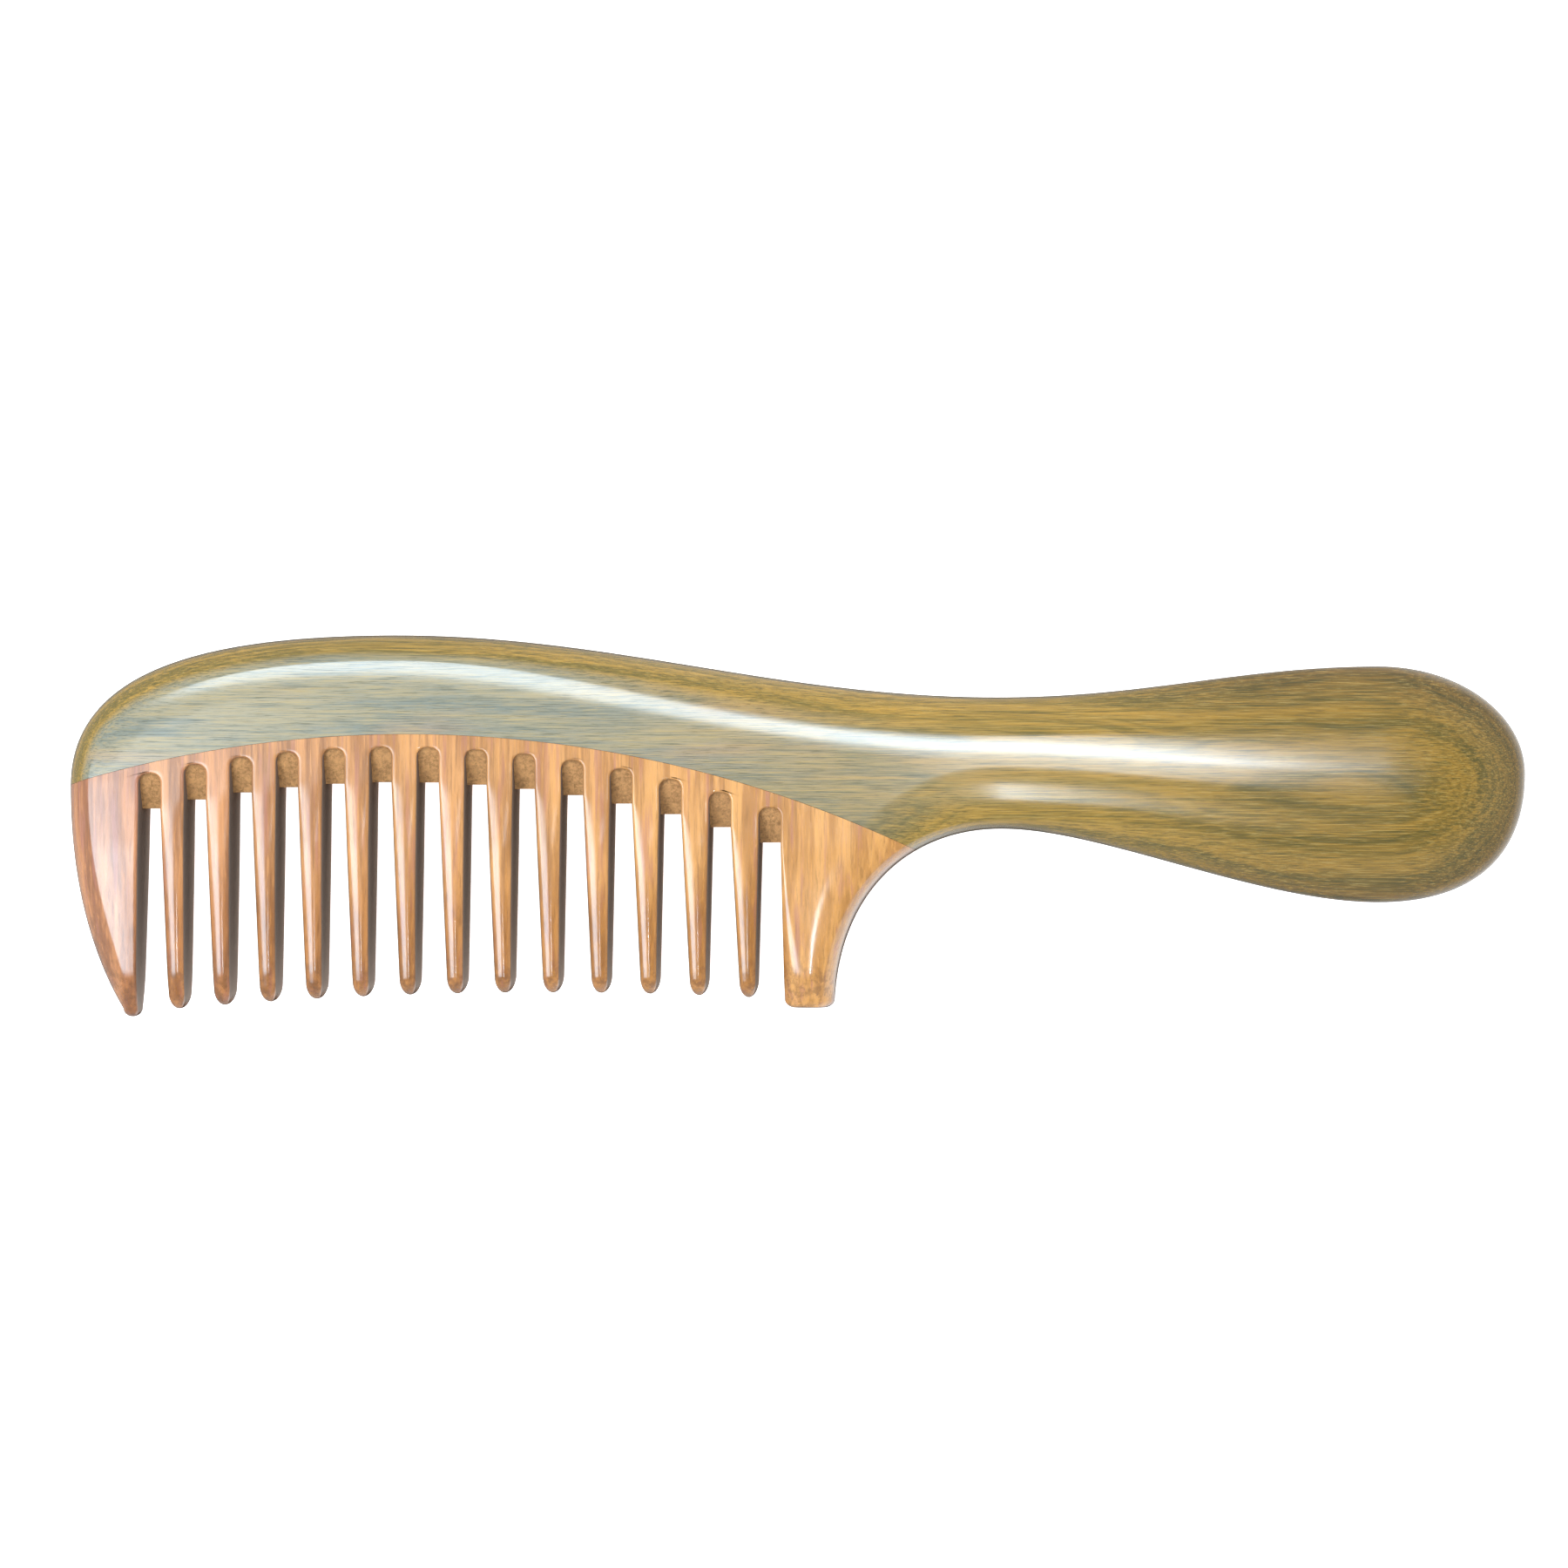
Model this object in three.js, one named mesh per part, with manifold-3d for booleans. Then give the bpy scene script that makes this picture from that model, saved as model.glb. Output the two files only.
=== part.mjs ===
// Wide tooth comb: a one-piece spine and handle with fifteen toothed slats let into its
// curved edge. Every slat is a web, one tooth and a hidden tongue, cut from its own piece
// of wood with the grain running down the tooth.
//
// Millimetres. The comb lies flat on z = 0. +X runs towards the handle, +Y towards the
// back of the spine, and the teeth point to -Y. The origin is under the middle of the box.

import * as THREE from 'three';
import { ParametricGeometry } from 'three/addons/geometries/ParametricGeometry.js';
import { mergeGeometries, mergeVertices } from 'three/addons/utils/BufferGeometryUtils.js';
import Module from 'manifold-3d';

// ---- Driving dimensions ----

const LENGTH = 200;
const THICKNESS = 12;
const MID = THICKNESS / 2;
const LEFT = -LENGTH / 2;
const RIGHT = LENGTH / 2;

// The arc on which the slats meet the spine.
const JOINT = { x: -52.9, y: -148.8, radius: 161.4, depth: 60, start: -108, end: 36, steps: 64 };
const JOINT_GAP = 0.3;

// The tongue and groove hidden inside the joint.
const TONGUE = { height: 5.5, thickness: 4, left: -93.5, right: 9.5 };

// The gaps between teeth, numbered from the free end of the head.
const GAP_COUNT = 14;
const GAP = { first: -88.3, pitch: 6.25, growth: 0.0235, halfWidth: 1.5 };
const SEAM_GAP = 0.1;

// The root of a gap: an arch on both cheeks, and between them a straight land.
const WEB = { left: 1.45, right: 2.15 };
const LAND_DROP = 4.8;
const LAND_THICKNESS = THICKNESS / 3;
const POCKET_DEPTH = 0.8;
const ROOT_ROUND = 0.45;
const ARCH_POWER = 0.8;
const CAP = 4;
const CROTCH_START = 0.2;

// The teeth.
const TAPER = { start: -3, end: -25, halfThickness: 4.2, power: 1.3 };
const FALL = { start: -19.5, rate: 0.05 };
const TIP = { halfWidth: 1.2, length: 2.4, lean: 0.3, round: 0.7 };
const TIP_ROUND_Z = 0.9;
const ROUND_GROWTH = 0.6;
const TIP_LINE = { x: -33, y: -22.9, drop: 0.00085 };
const LEFT_GUARD_TIP = { x: -91.4, wall: -90.3, start: -25.2, length: 1.1, blunt: 0, round: 0.8 };
const RIGHT_GUARD_TIP = { x: 2.3, wall: -1.2, start: -23.7, length: 1.2, blunt: 0.55, round: 1.1 };

// How finely the round stretches are divided.
const quarterTurn = (steps, from = 0) => Array.from(
  { length: steps + 1 - from },
  (_, i) => (Math.PI / 2) * ((i + from) / steps),
);
const RIM_TURNS = quarterTurn(4);
const ROUNDING = quarterTurn(2).map((turn) => [1 - Math.sin(turn), 1 - Math.cos(turn)]);
const ARCH_TURNS = quarterTurn(3);
const TIP_TURNS = quarterTurn(3, 1);
const FLANK_STOPS = [0, 0.4, 0.8, 1];

// ---- The rim: the outer edge, and the crest where its rounding meets the cheek ----

const jointY = (x) => JOINT.y + Math.sqrt(JOINT.radius ** 2 - (x - JOINT.x) ** 2);
const LEFT_END = jointY(LEFT);

const RIM = [
  {
    name: 'crown',
    steps: 9,
    edge: [[LEFT, LEFT_END], [LEFT, 22.2], [-80, 26.3], [-55, 26.3]],
    crest: [[-97, LEFT_END], [-97, 17.8], [-79.2, 22.9], [-55, 22.9]],
  },
  {
    name: 'back',
    steps: 9,
    edge: [[-55, 26.3], [-25, 26.3], [-2.2, 17.7], [28, 17.7]],
    crest: [[-55, 22.9], [-28, 22.9], [-6, 12], [28, 11.5]],
  },
  {
    name: 'handle_top',
    steps: 7,
    edge: [[28, 17.7], [48.5, 17.7], [61, 21.9], [80, 21.9]],
    crest: [[28, 11.5], [46, 11.2], [62, 6.2], [80, 5.6]],
  },
  {
    name: 'bulb_top',
    steps: 6,
    edge: [[80, 21.9], [91.2, 21.9], [RIGHT, 15.3], [RIGHT, 7.2]],
    crest: [[80, 5.6], [82.5, 5.5], [84, 5.3], [84, 4.9]],
  },
  {
    name: 'bulb_underside',
    steps: 6,
    edge: [[RIGHT, 7.2], [RIGHT, -3.5], [93.6, -10.4], [80, -10.4]],
    crest: [[84, 4.9], [84, 4.5], [82.5, 4.2], [80, 4.1]],
  },
  {
    name: 'handle_underside',
    steps: 7,
    edge: [[80, -10.4], [63.5, -10.4], [42.2, -0.35], [28.5, -0.35]],
    crest: [[80, 4.1], [62, 4], [46, 4], [28.5, 4]],
  },
  {
    name: 'crotch',
    steps: 9,
    edge: [[28.5, -0.35], [15.6, -0.35], [6.4, -9.2], [5.6, RIGHT_GUARD_TIP.start]],
    crest: [[28.5, 4], [14.8, 3.4], [5, -8], [4.1, RIGHT_GUARD_TIP.start]],
  },
  {
    name: 'tooth_line',
    steps: 1,
    edge: [
      [5.6, RIGHT_GUARD_TIP.start],
      [-30, RIGHT_GUARD_TIP.start],
      [-60, LEFT_GUARD_TIP.start],
      [-92.7, LEFT_GUARD_TIP.start],
    ],
    crest: [
      [4.1, RIGHT_GUARD_TIP.start],
      [-30, RIGHT_GUARD_TIP.start + 2],
      [-60, LEFT_GUARD_TIP.start + 2],
      [-91.4, LEFT_GUARD_TIP.start],
    ],
  },
  {
    name: 'free_end',
    steps: 9,
    edge: [[-92.7, LEFT_GUARD_TIP.start], [-96.8, -18.2], [LEFT, -8.4], [LEFT, LEFT_END]],
    crest: [[-91.4, LEFT_GUARD_TIP.start], [-93.2, -17.5], [-97, -8.4], [-97, LEFT_END]],
  },
];

const curve = (points) => new THREE.CubicBezierCurve(...points.map(([x, y]) => new THREE.Vector2(x, y)));

// The points from the crest (cheek) down to the edge (mid-plane) at one place on the rim,
// on a quarter of an ellipse. z is measured from the mid-plane.
function rimRow(segment, t) {
  const edge = curve(segment.edge).getPoint(t);
  const crest = curve(segment.crest).getPoint(t);
  return RIM_TURNS.map((turn) => {
    const at = crest.clone().lerp(edge, Math.sin(turn));
    return [at.x, at.y, halfThickness(at.y) * Math.cos(turn)];
  });
}

// Half the thickness of the board, which thins towards the tips and falls away over them.
function halfThickness(y) {
  const along = THREE.MathUtils.clamp((TAPER.start - y) / (TAPER.start - TAPER.end), 0, 1);
  const beyond = Math.max(FALL.start - y, 0);
  return MID - (MID - TAPER.halfThickness) * along ** TAPER.power - FALL.rate * beyond ** 2;
}

// ---- Solids ----

const wasm = await Module();
wasm.setup();

function closedGeometry(geometry) {
  geometry.deleteAttribute('normal');
  geometry.deleteAttribute('uv');
  const merged = mergeVertices(geometry, 1e-4);
  const corners = [];
  for (let i = 0; i < merged.index.count; i += 3) {
    const [a, b, c] = [0, 1, 2].map((k) => merged.index.getX(i + k));
    if (a !== b && b !== c && c !== a) {
      corners.push(a, b, c);
    }
  }
  merged.setIndex(corners);
  return merged;
}

function solid(geometry) {
  const closed = closedGeometry(geometry);
  return new wasm.Manifold(new wasm.Mesh({
    numProp: 3,
    vertProperties: new Float32Array(closed.attributes.position.array),
    triVerts: new Uint32Array(closed.index.array),
  }));
}

function geometryOf(body) {
  const { vertProperties, triVerts } = body.getMesh();
  const geometry = new THREE.BufferGeometry();
  geometry.setAttribute('position', new THREE.BufferAttribute(vertProperties, 3));
  geometry.setIndex(new THREE.BufferAttribute(triVerts, 1));
  const faceted = geometry.toNonIndexed();
  faceted.computeVertexNormals();
  return faceted;
}

// A grid of faces over rings of [x, y, z from the mid-plane], which all have as many points.
function skin(rings) {
  const place = (u, v, target) => {
    const ring = rings[Math.round(v * (rings.length - 1))];
    const [x, y, z] = ring[Math.round(u * ring.length) % ring.length];
    target.set(x, y, MID + z);
  };
  return new ParametricGeometry(place, rings[0].length, rings.length - 1);
}

const behind = (points) => points.map(([x, y, z]) => [x, y, -z]);

// Part of the round plate whose edge is the joint, between two radii and two x positions.
function jointPlate(outer, inner, thickness, left, right) {
  const from = Math.acos((right - JOINT.x) / JOINT.radius);
  const to = Math.acos((left - JOINT.x) / JOINT.radius);
  const shape = new THREE.Shape();
  shape.absarc(JOINT.x, JOINT.y, outer, from, to, false);
  shape.absarc(JOINT.x, JOINT.y, inner, to, from, true);
  const plate = new THREE.ExtrudeGeometry(shape, {
    depth: thickness,
    bevelEnabled: false,
    curveSegments: JOINT.steps,
  });
  plate.translate(0, 0, MID - thickness / 2);
  return solid(plate);
}

// A block between two x planes, over the whole height and thickness of the comb.
function blockBetween(left, right) {
  const block = new THREE.BoxGeometry(right - left, LENGTH, LENGTH);
  block.translate((left + right) / 2, 0, 0);
  return solid(block);
}

// ---- Spine and handle ----

// The cheek inside a crest line: way is +1 for the front, and -1 for the back.
function cheek(ring, way) {
  const face = new THREE.ShapeGeometry(new THREE.Shape(ring.map(([x, y]) => new THREE.Vector2(x, y))));
  const { position } = face.attributes;
  for (let i = 0; i < position.count; i += 1) {
    position.setZ(i, MID + way * halfThickness(position.getY(i)));
  }
  if (way < 0) {
    face.index.array.reverse();
  }
  return face;
}

// The whole board, with its rim rounded as a quarter ellipse from the crest to the edge.
function board() {
  const rows = RIM.flatMap((segment) => Array.from(
    { length: segment.steps },
    (_, i) => rimRow(segment, i / segment.steps),
  ));
  const front = rows[0].map((_, k) => rows.map((row) => row[k]));
  const back = front.slice(0, -1).reverse().map(behind);
  const rings = [...front, ...back];
  return solid(mergeGeometries([
    skin(rings),
    cheek(rings[0], 1),
    cheek(rings[0], -1),
  ]));
}

function spineHandle() {
  const slatSide = jointPlate(
    JOINT.radius + JOINT_GAP,
    JOINT.radius - JOINT.depth,
    2 * THICKNESS,
    JOINT.start,
    JOINT.end,
  );
  const groove = jointPlate(
    JOINT.radius + TONGUE.height + JOINT_GAP,
    JOINT.radius - JOINT_GAP,
    TONGUE.thickness + 2 * JOINT_GAP,
    TONGUE.left - JOINT_GAP,
    TONGUE.right + JOINT_GAP,
  );
  return board().subtract(slatSide).subtract(groove);
}

// ---- Toothed slats ----

const gapX = (gap) => GAP.first + GAP.pitch * gap + GAP.growth * gap ** 2;

const archTop = (gap) => {
  const web = THREE.MathUtils.lerp(WEB.left, WEB.right, gap / (GAP_COUNT - 1));
  return jointY(gapX(gap)) - web;
};

// Half a cross-section beside a gap, from the cheek to the seam. turn goes round the arch,
// a little squarer than a circle, from 0 at its crown. The floor of the pocket slopes from
// the arch down to the land.
function archRow(gap, way, turn) {
  const spring = archTop(gap) - GAP.halfWidth;
  const at = (out, z) => {
    const reach = GAP.halfWidth + out;
    const x = Math.max(reach * Math.sin(turn) ** ARCH_POWER, SEAM_GAP / 2);
    return [gapX(gap) + way * x, spring + reach * Math.cos(turn) ** ARCH_POWER, z];
  };
  const wall = at(0, 0);
  const floor = floorHeight(gap, wall[1]);
  const cheekHeight = halfThickness(wall[1]);
  const rim = ROUNDING.map(([back, down]) => at(ROOT_ROUND * back, cheekHeight - ROOT_ROUND * down));
  return [...rim, at(0, floor), [gapX(gap) + way * SEAM_GAP / 2, wall[1], floor]];
}

function floorHeight(gap, y) {
  const land = archTop(gap) - LAND_DROP;
  const top = halfThickness(archTop(gap)) - POCKET_DEPTH;
  return THREE.MathUtils.mapLinear(y, land, archTop(gap), LAND_THICKNESS / 2, top);
}

// Half a cross-section of the tooth itself. along is 0 at the land and 1 where the tip
// starts to round; the corners of the section round off towards the tip.
function flankRow(gap, way, tip, along, toSeam) {
  const land = archTop(gap) - LAND_DROP;
  const y = THREE.MathUtils.lerp(land, tip.start, along);
  const rootX = gapX(gap) + way * GAP.halfWidth;
  const wall = THREE.MathUtils.lerp(rootX, tip.wall, along);
  const growth = along ** ROUND_GROWTH;
  const roundX = THREE.MathUtils.lerp(ROOT_ROUND, tip.round, growth);
  const roundZ = THREE.MathUtils.lerp(ROOT_ROUND, TIP_ROUND_Z, growth);
  const top = halfThickness(y);
  const rim = ROUNDING.map(([back, down]) => [wall + way * roundX * back, y, top - roundZ * down]);
  const low = Math.min(LAND_THICKNESS / 2, (top - roundZ) / 2);
  const far = toSeam ? gapX(gap) + way * SEAM_GAP / 2 : wall;
  return [...rim, [wall, y, low], [far, y, low]];
}

// All the half sections beside one gap, from above the joint to where the tip starts.
// way is +1 where the tooth is on the gap's right, and -1 where it is on its left.
function gapSide(gap, way, tip) {
  const crown = archRow(gap, way, 0);
  const seamX = gapX(gap) + way * SEAM_GAP / 2;
  return [
    crown.map(([, , z]) => [seamX, archTop(gap) + CAP, z]),
    ...ARCH_TURNS.map((turn) => archRow(gap, way, turn)),
    flankRow(gap, way, tip, 0, true),
    ...FLANK_STOPS.map((along) => flankRow(gap, way, tip, along, false)),
  ];
}

// All the half sections along a stretch of the rim, as many as a gap side has.
function outerSide(stations) {
  return stations.map(([name, t]) => rimRow(RIM.find((segment) => segment.name === name), t));
}

// The rounded end of a tooth: the last ring drawn in towards the middle of the tip.
function tipRings(ring, tip) {
  const shrink = (turn) => {
    const width = tip.blunt + (1 - tip.blunt) * Math.cos(turn);
    const drop = tip.length * Math.sin(turn);
    return ring.map(([x, y, z]) => [THREE.MathUtils.lerp(tip.x, x, width), y - drop, z * width]);
  };
  const end = ring.map(([, y]) => [tip.x, y - tip.length, 0]);
  return [...TIP_TURNS.map(shrink), end];
}

// A web and tooth as a closed skin, cut to the joint arc, with its tongue added.
function slat(left, right, tip, tongueLeft, tongueRight) {
  const rings = right.map((row, k) => [
    ...left[k],
    ...behind(left[k]).reverse(),
    ...behind(row),
    ...[...row].reverse(),
  ]);
  const folded = rings[0].map(([x, y]) => [x, y, 0]);
  const web = jointPlate(
    JOINT.radius,
    JOINT.radius - JOINT.depth,
    2 * THICKNESS,
    JOINT.start,
    JOINT.end,
  );
  const tongue = jointPlate(
    JOINT.radius + TONGUE.height,
    JOINT.radius - JOINT_GAP,
    TONGUE.thickness,
    JOINT.start,
    JOINT.end,
  ).intersect(blockBetween(tongueLeft, tongueRight));
  const body = solid(skin([folded, ...rings, ...tipRings(rings.at(-1), tip)]));
  return body.intersect(web).add(tongue);
}

// The tip of a slim tooth, on a shallow curve that is highest near the middle of the head.
function slimTip(x) {
  const y = TIP_LINE.y - TIP_LINE.drop * (x - TIP_LINE.x) ** 2;
  return { x, start: y + TIP.length, length: TIP.length, blunt: 0, round: TIP.round };
}

function slimTooth(index) {
  const [before, after] = [index - 1, index];
  const tip = slimTip((gapX(before) + gapX(after)) / 2 + TIP.lean);
  return slat(
    gapSide(before, 1, { ...tip, wall: tip.x - TIP.halfWidth }),
    gapSide(after, -1, { ...tip, wall: tip.x + TIP.halfWidth }),
    tip,
    gapX(before) + SEAM_GAP / 2,
    gapX(after) - SEAM_GAP / 2,
  );
}

function leftGuard() {
  const gap = gapSide(0, -1, LEFT_GUARD_TIP);
  const stations = gap.map((_, k) => (
    k === 0 ? ['crown', 0.2] : ['free_end', 1 - (k - 1) / (gap.length - 2)]
  ));
  return slat(
    outerSide(stations),
    gap,
    LEFT_GUARD_TIP,
    TONGUE.left,
    gapX(0) - SEAM_GAP / 2,
  );
}

function rightGuard() {
  const gap = gapSide(GAP_COUNT - 1, 1, RIGHT_GUARD_TIP);
  const stations = gap.map((_, k) => (
    ['crotch', THREE.MathUtils.lerp(CROTCH_START, 1, k / (gap.length - 1))]
  ));
  return slat(
    gap,
    outerSide(stations),
    RIGHT_GUARD_TIP,
    gapX(GAP_COUNT - 1) + SEAM_GAP / 2,
    TONGUE.right,
  );
}

// ---- Assembly ----

const WOODS = {
  spine: new THREE.MeshStandardMaterial({ color: '#77725a', roughness: 0.22, metalness: 0 }),
  rose: new THREE.MeshStandardMaterial({ color: '#8f5c44', roughness: 0.25, metalness: 0 }),
  amber: new THREE.MeshStandardMaterial({ color: '#b0703a', roughness: 0.25, metalness: 0 }),
  gold: new THREE.MeshStandardMaterial({ color: '#c0813f', roughness: 0.25, metalness: 0 }),
};
const LAST_ROSE = 5;

function named(name, body, wood) {
  const mesh = new THREE.Mesh(geometryOf(body), wood);
  mesh.name = name;
  return mesh;
}

const comb = new THREE.Group();
comb.add(named('spine_handle', spineHandle(), WOODS.spine));
comb.add(named('left_guard_tooth', leftGuard(), WOODS.rose));
for (let index = 1; index < GAP_COUNT; index += 1) {
  const wood = index <= LAST_ROSE ? WOODS.rose : WOODS.amber;
  comb.add(named(`tooth_${String(index).padStart(2, '0')}`, slimTooth(index), wood));
}
comb.add(named('right_guard_tooth', rightGuard(), WOODS.gold));

export default comb;
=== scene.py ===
"""Wide tooth comb: fine meshes, wood materials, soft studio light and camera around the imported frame."""
import math

import bmesh
import bpy
from mathutils import Matrix, Vector


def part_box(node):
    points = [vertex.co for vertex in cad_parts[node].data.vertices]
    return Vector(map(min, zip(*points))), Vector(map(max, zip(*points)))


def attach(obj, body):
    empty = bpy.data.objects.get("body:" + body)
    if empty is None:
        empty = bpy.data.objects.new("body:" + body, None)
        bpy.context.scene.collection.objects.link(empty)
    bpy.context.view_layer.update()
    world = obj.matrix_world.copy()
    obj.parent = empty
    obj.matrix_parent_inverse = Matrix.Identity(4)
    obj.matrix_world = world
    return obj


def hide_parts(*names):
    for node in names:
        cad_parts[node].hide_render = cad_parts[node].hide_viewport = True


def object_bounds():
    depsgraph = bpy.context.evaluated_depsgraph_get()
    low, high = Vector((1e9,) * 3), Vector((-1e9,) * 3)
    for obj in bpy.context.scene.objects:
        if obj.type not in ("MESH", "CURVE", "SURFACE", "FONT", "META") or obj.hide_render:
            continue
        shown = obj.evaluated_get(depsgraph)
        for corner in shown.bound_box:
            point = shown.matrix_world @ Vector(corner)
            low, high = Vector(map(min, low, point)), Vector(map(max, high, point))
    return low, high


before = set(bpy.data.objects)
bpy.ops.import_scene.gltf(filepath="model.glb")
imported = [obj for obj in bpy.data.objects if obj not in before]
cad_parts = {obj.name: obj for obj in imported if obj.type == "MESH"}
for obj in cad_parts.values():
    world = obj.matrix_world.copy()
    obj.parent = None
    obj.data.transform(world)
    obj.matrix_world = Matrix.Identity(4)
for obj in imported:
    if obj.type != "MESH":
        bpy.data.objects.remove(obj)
CAD_LOW, CAD_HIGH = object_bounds()

# ---------------------------------------------------------------- sizes, in millimetres

MM = 0.001
LEFT = CAD_LOW[0] / MM
RIGHT = CAD_HIGH[0] / MM
BACK = CAD_HIGH[1] / MM

# The comb lies on z = 0, so its mid-plane is also half its thickness.
MID = (CAD_HIGH[2] + CAD_LOW[2]) / 2 / MM

# The floor keeps clear of the back cheek, so that the two don't lie in one plane.
FLOOR_GAP = 0.1

SLIM = [f"tooth_{number:02d}" for number in range(1, 14)]
SLATS = ["left_guard_tooth", *SLIM, "right_guard_tooth"]


def box_mm(node):
    low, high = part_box(node)
    return low / MM, high / MM


# Each gap's middle is the seam between two slats.
SEAMS = [
    (box_mm(before)[1].x + box_mm(after)[0].x) / 2
    for before, after in zip(SLATS, SLATS[1:])
]

# The joint is an arc round a centre far below the comb. It is cut with plates that reach well
# past the slats below it, or above it past their caps.
JOINT_X = -52.9
JOINT_Y = -148.8
JOINT_RADIUS = 161.4
JOINT_DEPTH = 60
JOINT_OVER = 20
JOINT_SPAN = (-108, 36)
JOINT_STEP = 0.5
JOINT_GAP = 0.035
CUT_MARGIN = 2
BLANK_BOTTOM = -2.6
SEAM_GAP = 0.006

# The hidden tongues. Tongue and groove start a little below the joint, inside the wood.
TONGUE_HEIGHT = 5.5
TONGUE_THICKNESS = 4
TONGUE_SPAN = (-93.5, 9.5)
TONGUE_GAP = 0.15
TONGUE_START = -0.5
GROOVE_START = -1

# The gaps, the webs over them, and the pockets from the arched top down to the thin land.
GAP_HALF = 1.5
WEB_LEFT = 1.45
WEB_RIGHT = 2.15
LAND_DROP = 4.8
LAND_HALF = MID / 3
POCKET_DEPTH = 0.8
ROOT_ROUND = 0.32
ARCH_POWER = 0.8

# A slat is made with a cap over its web, which the cut along the joint takes away.
CAP = 4

# The teeth get thinner from the web down, and a little faster near their tips.
TAPER_START = -3
TAPER_END = -25
TIP_HALF_THICKNESS = 4.2
TAPER_POWER = 1.3
FALL_START = -19.5
FALL_RATE = 0.05

# A slim tooth's tip, with a rounding that grows from the root, less so on the right.
TIP_HALF_WIDTH = 1.2
TIP_LENGTH = 2.4
TIP_LEAN = 0.3
TIP_ROUND_X = 0.4
TIP_ROUND_RIGHT = 0.2
TIP_ROUND_Z = 0.9
ROUND_GROWTH = 0.6
SLIM_DOME = 0.075

# The guards' tips: the middle, the wall beside the gap, where the tip starts and how long it
# is, how blunt its end is, its rounding, and how its cheeks are domed.
LEFT_GUARD_TIP = {
    "x": -91.4, "wall": -90.3, "start": -25.2, "length": 1.1, "blunt": 0,
    "round": 0.5, "growth": 0.6, "dome": 0, "dome_power": 1,
}
RIGHT_GUARD_TIP = {
    "x": 2.3, "wall": -1.2, "start": -23.7, "length": 1.2, "blunt": 0.55,
    "round": 2.4, "growth": 1.2, "dome": 0.2, "dome_power": 3,
}

# The rounding from the cheek to the edge: a gentle crown, a soft crease, then a steep band.
CROWN_SLOPE = 0.14
BAND_HEIGHT = 6.2
BAND_OVERLAP = 0.67
CREASE = 0.1
OVAL_POWER = 1.8


def joint_y(x):
    """The height of the joint."""
    return JOINT_Y + math.sqrt(JOINT_RADIUS ** 2 - (x - JOINT_X) ** 2)


LEFT_END = joint_y(LEFT)
RIGHT_START = RIGHT_GUARD_TIP["start"]
LEFT_START = LEFT_GUARD_TIP["start"]

# The rim, clockwise from the joint at the free end to the right guard's tip, and then from the
# left guard's tip up to the joint again. Each stretch has the outer edge, the crest where the
# crown meets the band, the line inside which the cheek is flat, and how oval its section
# is at its two ends: 0 on the flat head and 1 on the round end of the handle.
RIM = {
    "crown": {
        "steps": 64,
        "oval": (0, 0),
        "edge": [(LEFT, LEFT_END), (LEFT, 22.2), (-80, BACK), (-55, BACK)],
        "crest": [(-97, LEFT_END), (-97, 17.8), (-79.2, 22.9), (-55, 22.9)],
        "flat": [(-92.5, LEFT_END), (-92.5, 15), (-77, 18), (-55, 18)],
    },
    "back": {
        "steps": 72,
        "oval": (0, 0.3),
        "edge": [(-55, BACK), (-25, BACK), (-2.2, 17.7), (28, 17.7)],
        "crest": [(-55, 22.9), (-28, 22.9), (-8, 13), (28, 13)],
        "flat": [(-55, 18), (-30, 18), (-9, 9.3), (28, 9)],
    },
    "handle_top": {
        "steps": 48,
        "oval": (0.3, 1),
        "edge": [(28, 17.7), (48.5, 17.7), (61, 21.9), (80, 21.9)],
        "crest": [(28, 13), (48, 13), (62, 13.4), (80, 13.4)],
        "flat": [(28, 9), (46, 8.6), (62, 5.3), (80, 4.8)],
    },
    "bulb_top": {
        "steps": 36,
        "oval": (1, 1),
        "edge": [(80, 21.9), (91.2, 21.9), (RIGHT, 15.3), (RIGHT, 7.2)],
        "crest": [(80, 13.4), (87, 13.4), (91.6, 10.6), (91.6, 6.4)],
        "flat": [(80, 4.8), (82.5, 4.8), (84, 4.75), (84, 4.7)],
    },
    "bulb_underside": {
        "steps": 36,
        "oval": (1, 1),
        "edge": [(RIGHT, 7.2), (RIGHT, -3.5), (93.6, -10.4), (80, -10.4)],
        "crest": [(91.6, 6.4), (91.6, 1.8), (87, -1), (80, -1)],
        "flat": [(84, 4.7), (84, 4.65), (82.5, 4.6), (80, 4.6)],
    },
    "handle_underside": {
        "steps": 48,
        "oval": (1, 0.3),
        "edge": [(80, -10.4), (63.5, -10.4), (42.2, -0.35), (28.5, -0.35)],
        "crest": [(80, -1), (62, -1), (45, 1.1), (28.5, 1.1)],
        "flat": [(80, 4.6), (62, 5.1), (46, 8.2), (28.5, 8.4)],
    },
    "crotch": {
        "steps": 72,
        "oval": (0.3, 0),
        "edge": [(28.5, -0.35), (15.6, -0.35), (6.4, -9.2), (5.6, RIGHT_START)],
        "crest": [(28.5, 1.1), (14.8, 1.1), (5, -8.6), (4.1, RIGHT_START)],
        "flat": [(28.5, 8.4), (11, 8.4), (0.9, -5.5), (2.4, RIGHT_START)],
    },
    "free_end": {
        "steps": 64,
        "oval": (0, 0),
        "edge": [(-92.7, LEFT_START), (-96.8, -18.2), (LEFT, -8.4), (LEFT, LEFT_END)],
        "crest": [(-91.4, LEFT_START), (-93.2, -17.5), (-97, -8.4), (-97, LEFT_END)],
        "flat": [(-90.9, LEFT_START), (-91, -17.5), (-92.5, -8), (-92.5, LEFT_END)],
    },
}

# ---------------------------------------------------------------- small helpers


def lerp(a, b, t):
    return a + (b - a) * t


def clamp(value, low=0.0, high=1.0):
    return max(low, min(high, value))


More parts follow.
